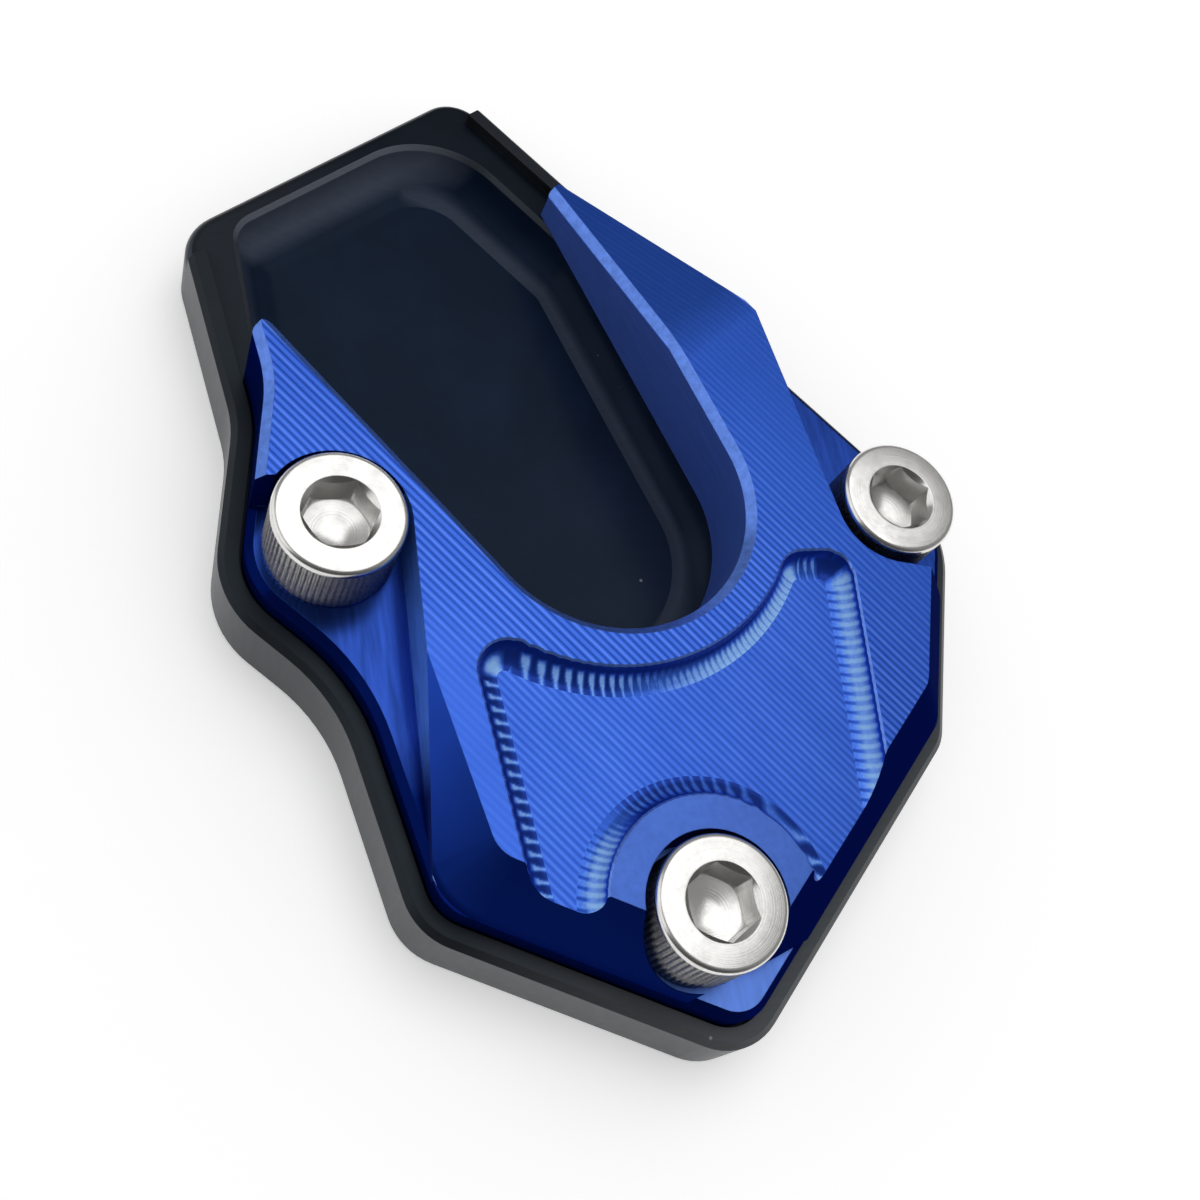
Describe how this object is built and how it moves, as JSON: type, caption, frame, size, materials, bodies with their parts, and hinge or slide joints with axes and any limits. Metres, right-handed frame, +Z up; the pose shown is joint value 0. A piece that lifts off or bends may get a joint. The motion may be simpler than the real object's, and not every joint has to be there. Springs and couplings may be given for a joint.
{
  "type": "kickstand foot enlarger",
  "caption": "Bolt-on side-stand foot pad: black base with a scooped pocket for the stand's foot, and a blue milled clamp plate with a flared slot, held by cap screws.",
  "frame": {"origin": "on the underside, midway between the two side screws", "axes": "+X from the left side screw to the right one, +Y towards the entry end, +Z up"},
  "size_m": [0.063, 0.086, 0.015],
  "materials": {
    "base_black": "black anodised, satin",
    "plate_blue": "blue anodised, milled",
    "screw_steel": "bright stainless"
  },
  "bodies": {
    "root": {"base_plate": "base_black", "top_plate": "plate_blue", "cap_screws": "screw_steel"}
  },
  "joints": []
}
